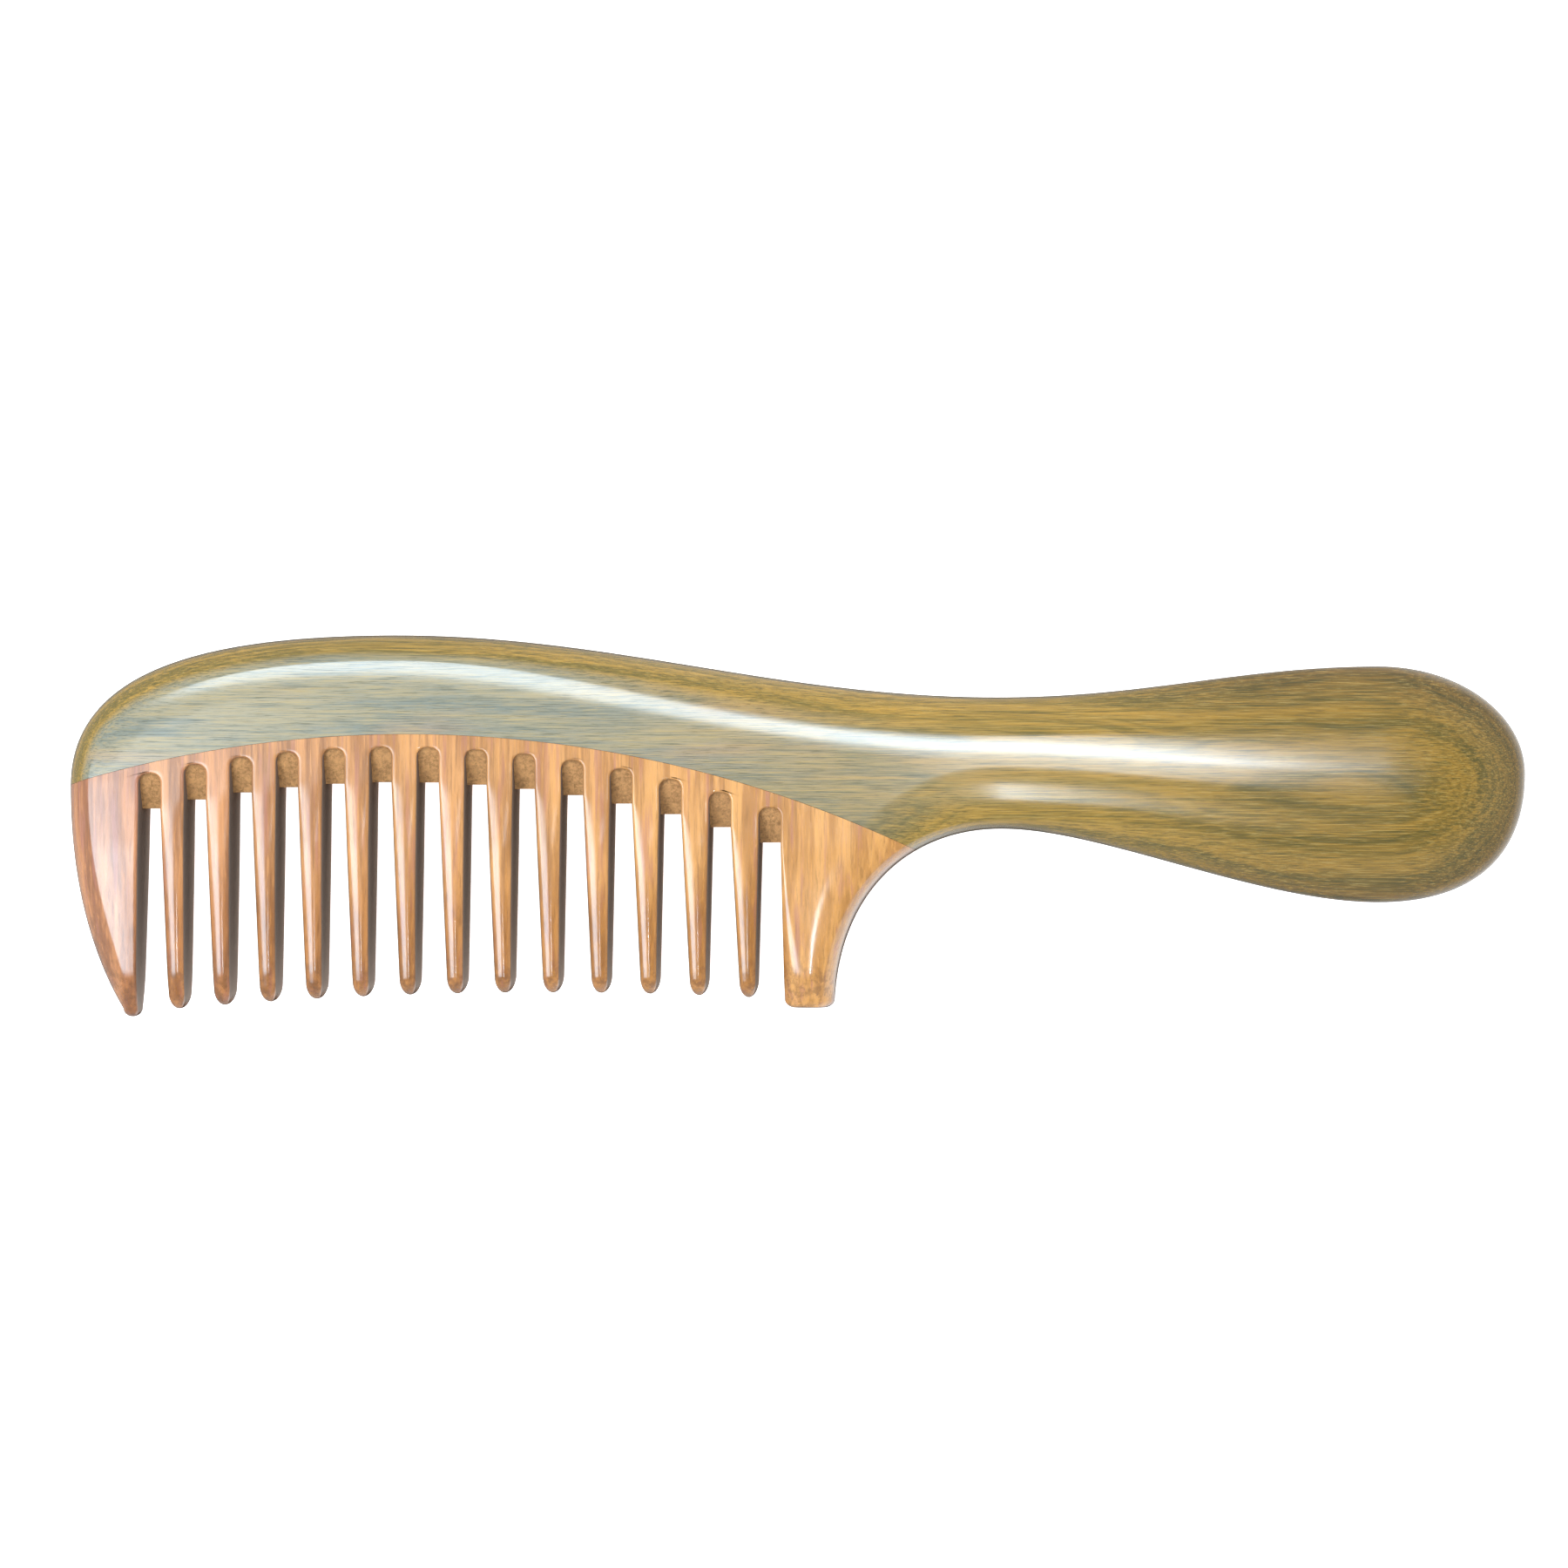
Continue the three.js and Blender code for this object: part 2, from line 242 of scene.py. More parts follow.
def smooth(t):
    t = clamp(t)
    return t * t * (3 - 2 * t)


def bezier(points, t):
    a, b, c, d = (Vector(point) for point in points)
    s = 1 - t
    return a * s ** 3 + b * 3 * s * s * t + c * 3 * s * t * t + d * t ** 3


def quarter_turn(steps, first=0):
    return [math.pi / 2 * i / steps for i in range(first, steps + 1)]


def half_thickness(y):
    """Half the distance between the cheeks, at this height on the comb."""
    along = clamp((TAPER_START - y) / (TAPER_START - TAPER_END))
    beyond = max(FALL_START - y, 0)
    return MID - (MID - TIP_HALF_THICKNESS) * along ** TAPER_POWER - FALL_RATE * beyond ** 2


def behind(points):
    """The same points on the back cheek."""
    return [(x, y, -z) for x, y, z in points]


def soft_min(a, b, width):
    """The lesser of two values, with the corner between them rounded."""
    mix = clamp(0.5 + 0.5 * (b - a) / width)
    return lerp(b, a, mix) - width * mix * (1 - mix)


# ---------------------------------------------------------------- sections of the board

CROWN_STOPS = [0, 0.15, 0.3, 0.45, 0.6, 0.72, 0.82, 0.9, 0.94, 0.97]
BAND_STOPS = [0, 0.03, 0.06] + [math.sin(turn) for turn in quarter_turn(14, 1)]
HALVINGS = 40


def rim_height(inward, crown, band, oval):
    """Height over the mid-plane, inward being the distance from the flat line."""
    start = max(crown - BAND_OVERLAP * band, 0)
    reach = clamp((inward - start) / (crown + band - start))
    steep = BAND_HEIGHT * math.sqrt(1 - reach * reach)
    gentle = MID - CROWN_SLOPE * inward * inward / (2 * crown)
    creased = max(soft_min(gentle, steep, CREASE), 0) if reach < 1 else 0
    share = inward / (crown + band)
    rounded = MID * math.sqrt(max(1 - share ** OVAL_POWER, 0))
    return lerp(creased, rounded, oval)


def rim_row(name, t):
    """Half a section of the rim, from the flat cheek out to the edge at the mid-plane."""
    stretch = RIM[name]
    edge = bezier(stretch["edge"], t)
    crest = bezier(stretch["crest"], t)
    flat = bezier(stretch["flat"], t)
    crown = (crest - flat).length
    band = (edge - crest).length
    oval = lerp(*stretch["oval"], smooth(t))
    stops = [(flat.lerp(crest, v), v * crown) for v in CROWN_STOPS]
    stops += [(crest.lerp(edge, u), crown + u * band) for u in BAND_STOPS]
    row = []
    for place, inward in stops:
        height = rim_height(inward, crown, band, oval) * half_thickness(place.y) / MID
        row.append((place.x, place.y, height))
    return row


def station(name, line, y):
    """Where one line of a stretch of the rim is at this height."""
    rail = RIM[name][line]
    rising = rail[3][1] > rail[0][1]
    low, high = 0.0, 1.0
    for _ in range(HALVINGS):
        middle = (low + high) / 2
        if (bezier(rail, middle).y < y) == rising:
            low = middle
        else:
            high = middle
    return low


# ---------------------------------------------------------------- meshes

POLISHED, END_GRAIN = 0, 1
SHARP_ANGLE = math.radians(32)
WELD_DISTANCE = 1e-4


def mesh_object(name, points, faces, slots=None):
    mesh = bpy.data.meshes.new(name)
    mesh.from_pydata([Vector((x, y, MID + z)) * MM for x, y, z in points], [], faces)
    if slots:
        mesh.polygons.foreach_set("material_index", slots)
    obj = bpy.data.objects.new(name, mesh)
    bpy.context.scene.collection.objects.link(obj)
    return obj


def weld(obj):
    """Merges the points that folded rings share, and turns every face outwards."""
    shell = bmesh.new()
    shell.from_mesh(obj.data)
    bmesh.ops.remove_doubles(shell, verts=shell.verts, dist=WELD_DISTANCE * MM)
    bmesh.ops.dissolve_degenerate(shell, dist=WELD_DISTANCE * MM, edges=shell.edges)
    bmesh.ops.recalc_face_normals(shell, faces=shell.faces)
    shell.to_mesh(obj.data)
    shell.free()
    return obj


def ring_faces(rings, columns):
    """Quads between closed rings that have the same number of points."""
    faces = []
    for row in range(rings - 1):
        for column in range(columns):
            after = (column + 1) % columns
            low = row * columns
            high = low + columns
            faces.append((low + column, low + after, high + after, high + column))
    return faces


def boolean(obj, other, operation):
    modifier = obj.modifiers.new(operation, "BOOLEAN")
    modifier.operation = operation
    modifier.solver = "EXACT"
    modifier.object = other
    bpy.context.view_layer.objects.active = obj
    bpy.ops.object.modifier_apply(modifier=modifier.name)
    bpy.data.objects.remove(other)


def joint_plate(outer, inner, thickness, span):
    """A closed piece of the round plate that follows the joint, between two radii."""
    high, low = (math.acos((x - JOINT_X) / JOINT_RADIUS) for x in span)
    steps = math.ceil((span[1] - span[0]) / JOINT_STEP)
    count = steps + 1
    points = []
    for radius, height in ((outer, 1), (outer, -1), (inner, -1), (inner, 1)):
        for i in range(count):
            turn = lerp(low, high, i / steps)
            x = JOINT_X + radius * math.cos(turn)
            y = JOINT_Y + radius * math.sin(turn)
            points.append((x, y, height * thickness / 2))
    faces = [
        tuple(k * count for k in range(4)),
        tuple(k * count + steps for k in range(4)),
    ]
    for k in range(4):
        for i in range(steps):
            here = k * count + i
            there = (k + 1) % 4 * count + i
            faces.append((here, here + 1, there + 1, there))
    return weld(mesh_object("plate", points, faces))


def spine_blank():
    """The board inside the rim, before it is cut along the joint."""
    rows = []
    for name, stretch in RIM.items():
        first = station(name, "flat", BLANK_BOTTOM) if name == "free_end" else 0
        last = station(name, "flat", BLANK_BOTTOM) if name == "crotch" else 1
        steps = stretch["steps"]
        rows += [rim_row(name, lerp(first, last, i / steps)) for i in range(steps)]
    front = [[row[k] for row in rows] for k in range(len(rows[0]))]
    rings = front + [behind(ring) for ring in front[-2::-1]]
    columns = len(rows)
    faces = ring_faces(len(rings), columns)
    faces.append(tuple(range(columns)))
    faces.append(tuple(range((len(rings) - 1) * columns, len(rings) * columns)))
    return weld(mesh_object("spine_and_handle", [p for ring in rings for p in ring], faces))


def spine_mesh():
    spine = spine_blank()
    slat_side = joint_plate(
        JOINT_RADIUS + JOINT_GAP, JOINT_RADIUS - JOINT_DEPTH, 4 * MID, JOINT_SPAN
    )
    boolean(spine, slat_side, "DIFFERENCE")
    groove = joint_plate(
        JOINT_RADIUS + TONGUE_HEIGHT + TONGUE_GAP,
        JOINT_RADIUS + GROOVE_START,
        TONGUE_THICKNESS + 2 * TONGUE_GAP,
        (TONGUE_SPAN[0] - TONGUE_GAP, TONGUE_SPAN[1] + TONGUE_GAP),
    )
    boolean(spine, groove, "DIFFERENCE")
    return spine


# ---------------------------------------------------------------- toothed slats

ROUNDING = [(1 - math.sin(turn), 1 - math.cos(turn)) for turn in quarter_turn(6)]
ARCH_TURNS = quarter_turn(14)
FLANK_STOPS = [i / 26 for i in range(27)]
TIP_TURNS = quarter_turn(10, 1)
FLOOR_STOPS = 3
WALL_ROWS = 3
CAP_ROWS = 8
CROTCH_TOP = -1.3
LAST_GAP = len(SEAMS) - 1


def arch_top(gap):
    """The top of a gap: the webs get a little deeper towards the handle."""
    return joint_y(SEAMS[gap]) - lerp(WEB_LEFT, WEB_RIGHT, gap / LAST_GAP)


def floor_height(gap, y):
    """The pocket's floor slopes from just under the arch down to the land."""
    top = half_thickness(arch_top(gap)) - POCKET_DEPTH
    return lerp(LAND_HALF, top, (y - arch_top(gap) + LAND_DROP) / LAND_DROP)


def with_floor(rim, wall, far_x, y, low):
    """A rim's points, then those of the floor from the wall to its far side."""
    floor = [(lerp(wall, far_x, i / FLOOR_STOPS), y, low) for i in range(FLOOR_STOPS + 1)]
    return [*rim, *floor]


def arch_row(gap, way, turn):
    """Half a section beside the arch of a gap, from its crown down to where it springs."""
    spring = arch_top(gap) - GAP_HALF

    def at(out):
        reach = GAP_HALF + out
        x = max(reach * math.sin(turn) ** ARCH_POWER, SEAM_GAP / 2)
        return SEAMS[gap] + way * x, spring + reach * math.cos(turn) ** ARCH_POWER

    wall_x, wall_y = at(0)
    top = half_thickness(wall_y)
    rim = [(*at(ROOT_ROUND * back), top - ROOT_ROUND * down) for back, down in ROUNDING]
    far_x = SEAMS[gap] + way * SEAM_GAP / 2
    return with_floor(rim, wall_x, far_x, wall_y, floor_height(gap, wall_y))


def flank_row(gap, way, tip, along, to_seam):
    """Half a section of a tooth, along being 0 under the land and 1 where the tip starts."""
    y = lerp(arch_top(gap) - LAND_DROP, tip["start"], along)
    wall = lerp(SEAMS[gap] + way * GAP_HALF, tip["wall"], along)
    growth = along ** tip["growth"]
    round_x = lerp(ROOT_ROUND, tip["round"], growth)
    round_z = lerp(ROOT_ROUND, TIP_ROUND_Z, growth)
    top = half_thickness(y)
    rim = [(wall + way * round_x * back, y, top - round_z * down) for back, down in ROUNDING]
    low = min(LAND_HALF, (top - round_z) / 2)
    far = SEAMS[gap] + way * SEAM_GAP / 2 if to_seam else wall
    return with_floor(rim, wall, far, y, low)


def wall_row(gap, way, y):
    """Half a section beside a pocket's straight wall."""
    wall = SEAMS[gap] + way * GAP_HALF
    top = half_thickness(y)
    rim = [(wall + way * ROOT_ROUND * back, y, top - ROOT_ROUND * down) for back, down in ROUNDING]
    return with_floor(rim, wall, SEAMS[gap] + way * SEAM_GAP / 2, y, floor_height(gap, y))


def gap_side(gap, way, tip):
    """Half sections beside a gap: way is +1 for the slat on its right, -1 on its left."""
    seam_x = SEAMS[gap] + way * SEAM_GAP / 2
    spring = arch_top(gap) - GAP_HALF
    land = arch_top(gap) - LAND_DROP
    wall_heights = [lerp(spring, land, i / (WALL_ROWS + 1)) for i in range(1, WALL_ROWS + 1)]
    crown = arch_row(gap, way, 0)
    cap_rows = [
        [(seam_x, arch_top(gap) + CAP * (1 - i / CAP_ROWS), z) for _, _, z in crown]
        for i in range(CAP_ROWS)
    ]
    return [
        *cap_rows,
        *[arch_row(gap, way, turn) for turn in ARCH_TURNS],
        *[wall_row(gap, way, y) for y in wall_heights],
        flank_row(gap, way, tip, 0, True),
        *[flank_row(gap, way, tip, along, False) for along in FLANK_STOPS],
    ]


GAP_POINTS = len(ROUNDING) + FLOOR_STOPS + 1
FLOOR_ROWS = range(CAP_ROWS + 1, CAP_ROWS + len(ARCH_TURNS) + WALL_ROWS + 2)
CHEEK_STOPS = [0.1, 0.25, 0.4, 0.5, 0.6, 0.75, 0.9]


def left_outer(gap_rows):
    """The left guard's outer side: the rim, at the height of each row beside the gap."""
    rows = []
    for row in gap_rows:
        y = row[len(ROUNDING)][1]
        name = "crown" if y > LEFT_END else "free_end"
        rows.append(rim_row(name, station(name, "edge", y)))
    return rows


def right_outer(gap_rows):
    """The right guard's outer side: the crotch, spread evenly from its top down to the tip."""
    first = gap_rows[0][0][1]
    rows = []
    for row in gap_rows:
        along = (first - row[len(ROUNDING)][1]) / (first - RIGHT_START)
        y = lerp(CROTCH_TOP, RIGHT_START, along)
        rows.append(rim_row("crotch", station("crotch", "edge", y)))
    return rows


def tip_rings(ring, tip):
    """The rounded end of a tooth: its last ring, drawn in towards the middle of the tip."""
    rings = []
    for turn in TIP_TURNS:
        width = tip["blunt"] + (1 - tip["blunt"]) * math.cos(turn)
        drop = tip["length"] * math.sin(turn)
        rings.append([(lerp(tip["x"], x, width), y - drop, z * width) for x, y, z in ring])
    rings.append([(tip["x"], y - tip["length"], 0) for _, y, _ in ring])
    return rings


def section(left, right, dome):
    """A closed ring: down the left side, under the back cheek, up the right, and across.

    Both cheeks are arched, losing this share of their height at the sides.
    """
    across = [
        tuple(lerp(p, q, stop) for p, q in zip(right[0], left[0]))
        for stop in CHEEK_STOPS
    ]
    left_x = min(x for x, _, _ in left)
    right_x = max(x for x, _, _ in right)
    ring = [*left, *behind(left)[::-1], *behind(across)[::-1], *behind(right), *right[::-1], *across]
    arched = []
    for x, y, z in ring:
        aside = lerp(-1, 1, (x - left_x) / (right_x - left_x))
        arched.append((x, y, z * (1 - dome * aside * aside)))
    return arched


def floor_columns(side, first):
    """The columns of a gap side that hold the pocket floors and the land between them."""
    if len(side[0]) != GAP_POINTS:
        return []
    return range(first + len(ROUNDING), first + 2 * GAP_POINTS - len(ROUNDING) - 1)


def slat_mesh(name, left, right, tip, tongue_span, cut_span):
    """One slat from its two half sections: cap, web, tooth and tip, cut at the joint."""
    first = len(left) - len(FLANK_STOPS)
    domes = [0] * first + [tip["dome"] * along ** tip["dome_power"] for along in FLANK_STOPS]
    rings = [section(*parts) for parts in zip(left, right, domes)]
    folded = [(x, y, 0) for x, y, _ in rings[0]]
    rings = [folded, *rings, *tip_rings(rings[-1], tip)]
    columns = len(rings[0])
    second = 2 * len(left[0]) + len(CHEEK_STOPS)
    sawn = {*floor_columns(left, 0), *floor_columns(right, second)}
    slots = [
        END_GRAIN if row in FLOOR_ROWS and column in sawn else POLISHED
        for row in range(len(rings) - 1)
        for column in range(columns)
    ]
    faces = ring_faces(len(rings), columns)
    slat = weld(mesh_object(name, [p for ring in rings for p in ring], faces, slots))
    above = joint_plate(JOINT_RADIUS + JOINT_OVER, JOINT_RADIUS, 4 * MID, cut_span)
    boolean(slat, above, "DIFFERENCE")
    tongue = joint_plate(
        JOINT_RADIUS + TONGUE_HEIGHT, JOINT_RADIUS + TONGUE_START, TONGUE_THICKNESS, tongue_span
    )
    boolean(slat, tongue, "UNION")
    return slat


def slim_tip(number):
    """A slim tooth's tip, between its seams in x and at the bottom of its box in y."""
    middle = (SEAMS[number - 1] + SEAMS[number]) / 2 + TIP_LEAN
    low = box_mm(SLIM[number - 1])[0].y
    return {
        "x": middle, "start": low + TIP_LENGTH, "length": TIP_LENGTH, "blunt": 0,
        "round": TIP_ROUND_X, "growth": ROUND_GROWTH, "dome": SLIM_DOME, "dome_power": 0.5,
    }


def slim_mesh(number):
    tip = slim_tip(number)
    left_tip = {**tip, "wall": tip["x"] - TIP_HALF_WIDTH}
    right_tip = {**tip, "wall": tip["x"] + TIP_HALF_WIDTH, "round": TIP_ROUND_RIGHT}
    left_seam, right_seam = SEAMS[number - 1:number + 1]
    return slat_mesh(
        f"slim_tooth_{number:02d}",
        gap_side(number - 1, 1, left_tip),
        gap_side(number, -1, right_tip),
        tip,
        (left_seam + SEAM_GAP / 2, right_seam - SEAM_GAP / 2),
        (left_seam - CUT_MARGIN, right_seam + CUT_MARGIN),
    )


def left_guard_mesh():
    gap = gap_side(0, -1, LEFT_GUARD_TIP)
    span = (TONGUE_SPAN[0], SEAMS[0] - SEAM_GAP / 2)
    cut = (LEFT - CUT_MARGIN, SEAMS[0] + CUT_MARGIN)
    return slat_mesh("free_end_guard", left_outer(gap), gap, LEFT_GUARD_TIP, span, cut)


def right_guard_mesh():
    gap = gap_side(LAST_GAP, 1, RIGHT_GUARD_TIP)
    span = (SEAMS[LAST_GAP] + SEAM_GAP / 2, TONGUE_SPAN[1])
    cut = (SEAMS[LAST_GAP] - CUT_MARGIN, JOINT_SPAN[1])
    return slat_mesh("handle_end_guard", gap, right_outer(gap), RIGHT_GUARD_TIP, span, cut)


AREA_WEIGHT = 60


def smooth_shading(obj):
    """Smooth normals led by the larger faces, and sharp only at real edges."""
    obj.data.shade_smooth()
    obj.data.set_sharp_from_angle(angle=SHARP_ANGLE)
    weighted = obj.modifiers.new("even_normals", "WEIGHTED_NORMAL")
    weighted.keep_sharp = True
    weighted.weight = AREA_WEIGHT


# ---------------------------------------------------------------- materials


UNDER_POLISH = 0.25
POLISH_IOR = 1.6


def smooth_step(tree, value, low, high, start=0.0, end=1.0):
    """A node that goes smoothly from start to end while value goes from low to high."""
    node = tree.nodes.new("ShaderNodeMapRange")
    node.interpolation_type = "SMOOTHSTEP"
    tree.links.new(value, node.inputs["Value"])
    node.inputs["From Min"].default_value = low
    node.inputs["From Max"].default_value = high
    node.inputs["To Min"].default_value = start
    node.inputs["To Max"].default_value = end
    return node


class Nodes:
    """Short calls for building a material's nodes. Its place is in millimetres."""

    def __init__(self, name):
        self.material = bpy.data.materials.new(name)
        self.material.use_nodes = True
        self.tree = self.material.node_tree
        self.shader = self.tree.nodes["Principled BSDF"]
        place = self.tree.nodes.new("ShaderNodeTexCoord")
        self.place = self.scaled(place.outputs["Object"], (1 / MM, 1 / MM, 1 / MM))

    def link(self, value, socket):
        if isinstance(value, bpy.types.NodeSocket):
            self.tree.links.new(value, socket)
        else:
            socket.default_value = value

    def scaled(self, vector, scale):
        node = self.tree.nodes.new("ShaderNodeVectorMath")
        node.operation = "MULTIPLY"
        self.link(vector, node.inputs[0])
        node.inputs[1].default_value = scale
        return node.outputs[0]

    def moved(self, vector, offset):
        node = self.tree.nodes.new("ShaderNodeVectorMath")
        node.operation = "ADD"
        self.link(vector, node.inputs[0])
        self.link(offset, node.inputs[1])
        return node.outputs[0]

    def axes(self, vector):
        node = self.tree.nodes.new("ShaderNodeSeparateXYZ")
        self.link(vector, node.inputs[0])
        return node.outputs

    def joined(self, x, y, z):
        node = self.tree.nodes.new("ShaderNodeCombineXYZ")
        for value, socket in zip((x, y, z), node.inputs):
            self.link(value, socket)
        return node.outputs[0]

    def math(self, operation, a, b=0.0):
        node = self.tree.nodes.new("ShaderNodeMath")
        node.operation = operation
        self.link(a, node.inputs[0])
        self.link(b, node.inputs[1])
        return node.outputs[0]

    def noise(self, vector, scale, detail=3.0, roughness=0.5):
        """Noise with its own scale along each axis, given in cycles per millimetre."""
        node = self.tree.nodes.new("ShaderNodeTexNoise")
        self.link(self.scaled(vector, scale), node.inputs["Vector"])
        node.inputs["Scale"].default_value = 1
        node.inputs["Detail"].default_value = detail
        node.inputs["Roughness"].default_value = roughness
        return node.outputs[0]

    def ramp(self, value, low, high, start=0.0, end=1.0):
        return smooth_step(self.tree, value, low, high, start, end).outputs[0]

    def mix(self, factor, a, b, blend="MIX"):
        node = self.tree.nodes.new("ShaderNodeMix")
        node.data_type = "RGBA"
        node.blend_type = blend
        self.link(factor, node.inputs[0])
        self.link((*a, 1) if isinstance(a, tuple) else a, node.inputs[6])
        self.link((*b, 1) if isinstance(b, tuple) else b, node.inputs[7])
        return node.outputs[2]

    def turned(self, axis):
        """How much the surface faces along an axis, either way."""
        facing = self.tree.nodes.new("ShaderNodeNewGeometry").outputs["Normal"]
        return self.math("ABSOLUTE", self.axes(facing)[axis])

    def bump(self, height, distance, under=None):
        node = self.tree.nodes.new("ShaderNodeBump")
        node.inputs["Strength"].default_value = 1
        node.inputs["Distance"].default_value = distance * MM
        self.link(height, node.inputs["Height"])
        if under is not None:
            self.link(under, node.inputs["Normal"])
        return node.outputs[0]

    def finish(self, colour, roughness, normal, gloss, coat_roughness=0.1):
        """Sets the shader: gloss is the weight of a clear polish over the wood."""
        self.link(colour, self.shader.inputs["Base Color"])
        self.link(roughness, self.shader.inputs["Roughness"])
        self.link(normal, self.shader.inputs["Normal"])
        varies = isinstance(gloss, bpy.types.NodeSocket)
        under = self.math("MULTIPLY", gloss, UNDER_POLISH) if varies else gloss * UNDER_POLISH
        self.link(gloss, self.shader.inputs["Coat Weight"])
        self.link(under, self.shader.inputs["Specular IOR Level"])
        self.shader.inputs["Coat IOR"].default_value = POLISH_IOR
        self.shader.inputs["Coat Roughness"].default_value = coat_roughness
        return self.material


# How far pores, fibres and the marks of the maker's hand stand out, in millimetres.
PORE_DEPTH = 0.02
FIBRE_DEPTH = 0.02
HAND_WORK_DEPTH = 0.12
POLISH_ROUGHNESS = 0.12

# Colours of the spine's two layers: the gold one outside and the teal one in the cheek. The teal's bluish
# grey is partly the wood and partly a painted reflection on the flat cheek.
GOLD_LAYER = {
    "dark": (0.16, 0.115, 0.02), "light": (0.38, 0.225, 0.035),
    "pale_stroke": (0.54, 0.3, 0.045), "deep_stroke": (0.1, 0.09, 0.015),
}
TEAL_AND_SHEEN_LAYER = {
    "dark": (0.21, 0.235, 0.205), "light": (0.33, 0.3, 0.2),
    "pale_stroke": (0.42, 0.32, 0.14), "deep_stroke": (0.11, 0.14, 0.11),
}
ROSY_PATCH = (0.44, 0.28, 0.18)
# Painted shade on the bulb's rounded sides.
BULB_PAINTED_SHADE = (0.42, 0.37, 0.28)
PALE_FIBRE = (0.5, 0.36, 0.12)
DEEP_FIBRE = (0.06, 0.06, 0.02)
# The dark of the painted shade on the spine's steep rim.
SPINE_RIM_SHADE = (0.07, 0.05, 0.03)


def streaked(n, colour, grain, tones, shares, full_at=(0.68, 0.34)):
    """Pale streaks where the grain is high and deep ones where it is low."""
    pale, deep = tones
    colour = n.mix(n.ramp(grain, 0.5, full_at[0], 0, shares[0]), colour, pale)
    return n.mix(n.ramp(grain, 0.5, full_at[1], 0, shares[1]), colour, deep)


def layer_colour(n, figure, stroke, layer, shares):
    """One layer's dark and light wood, with its strokes."""
    colour = n.mix(figure, layer["dark"], layer["light"])
    return streaked(n, colour, stroke, (layer["pale_stroke"], layer["deep_stroke"]), shares)


def rim_shade(n):
    """How far the surface has turned over the edge of the board, where painted shade darkens the steep
    rim.
    """
    return n.ramp(n.turned(2), 0.45, 0.1, 0, 0.75)


def wood_relief(n, place, pore_scale, fibre, under=None):
    """Raised fibres and open pores."""
    pores = n.ramp(n.noise(place, pore_scale, 2, 0.5), 0.62, 0.75)
    return n.bump(pores, -PORE_DEPTH, n.bump(fibre, FIBRE_DEPTH, under))


def wood_roughness(n, fibre):
    return n.ramp(fibre, 0.3, 0.7, 0.32, 0.24)


def gold_wood(n, x, y, layer, stroke):
    """The outer layers, in rings that follow the section, with painted shade on the bulb, darkest where
    its deep layers come out at the rounded sides.
    """
    ring_place = n.joined(n.math("MULTIPLY", x, 0.012), n.math("MULTIPLY", y, 0.03), layer)
    rings = n.noise(ring_place, (1, 1, 1.5), 3, 0.6)
    gold = layer_colour(n, n.ramp(rings, 0.35, 0.62), stroke, GOLD_LAYER, (0.6, 0.6))
    in_bulb = n.ramp(x, 30, 72)
    # Painted shade over the bulb, growing towards its rounded sides.
    shade = n.math("MULTIPLY", n.ramp(layer, 6.5, 3, 0.35, 0.95), in_bulb)
    return n.mix(shade, gold, BULB_PAINTED_SHADE, "MULTIPLY")


def teal_and_sheen_wood(n, stroke):
    """The layer that the flat cheek lays open, with rosy patches; its bluish grey is partly painted
    reflection.
    """
    broad = n.noise(n.place, (0.035, 0.35, 0.35), 3, 0.6)
    teal = layer_colour(n, n.ramp(broad, 0.38, 0.62), stroke, TEAL_AND_SHEEN_LAYER, (0.5, 0.55))
    rosy = n.ramp(n.noise(n.place, (0.03, 0.14, 0.14), 2), 0.5, 0.66, 0, 0.45)
    return n.mix(rosy, teal, ROSY_PATCH)


def spine_wood():
    """Green sandalwood: growth layers parallel to the cheeks, with fine grain along x."""
    n = Nodes("green_sandalwood")
    x, y, z = n.axes(n.place)
    depth = n.math("ABSOLUTE", n.math("SUBTRACT", z, MID))
    sway = n.noise(n.place, (0.028, 0.09, 0.09), 2)
    layer = n.math("ADD", depth, n.math("MULTIPLY", sway, 3.2))
    stroke = n.noise(n.place, (0.05, 3.4, 3.4), 3, 0.7)
    fibre = n.noise(n.moved(n.place, (50, 0, 0)), (0.2, 8, 8), 3, 0.7)

    outer = n.ramp(n.math("ADD", depth, n.math("MULTIPLY", sway, 0.8)), 5.2, 6.2)
    headward = n.ramp(n.math("ADD", x, n.math("MULTIPLY", sway, 40)), -25, 65, 1, 0)
    cheek = n.math("MULTIPLY", outer, headward)
    # The head's flat cheek is teal, partly wood colour and partly painted reflection.
    colour = n.mix(cheek, gold_wood(n, x, y, layer, stroke), teal_and_sheen_wood(n, stroke))
    colour = streaked(n, colour, fibre, (PALE_FIBRE, DEEP_FIBRE), (0.45, 0.6), (0.66, 0.34))
    # Painted shade darkens the steep rim towards the edge.
    colour = n.mix(rim_shade(n), colour, SPINE_RIM_SHADE)
    normal = wood_relief(n, n.place, (0.5, 7, 7), fibre)
    return n.finish(colour, wood_roughness(n, fibre), normal, 1.0, POLISH_ROUGHNESS)


# Colours of the slats, beside the light and dark of each: a red blush, a dark mottle at the tips, and
# painted shade down the slim teeth, on their flanks and on the steep rims; and the span of the slim teeth.
RED_BLUSH = (0.42, 0.17, 0.13)
DARK_TIP_MOTTLE = (0.2, 0.09, 0.035)
TOOTH_SHADE = (0.76, 0.68, 0.56)
MATTE_SHADED_FLANK = (0.3, 0.26, 0.23)
SLAT_RIM_SHADE = (0.1, 0.08, 0.07)
TOOTHED_SPAN = (-93, 0)


def own_place(n, seed):
    """The place in a slat's own stretch of wood, so that no two slats are cut alike."""
    return n.moved(n.place, (seed * 37.0, seed * 11.0, seed * 5.0))


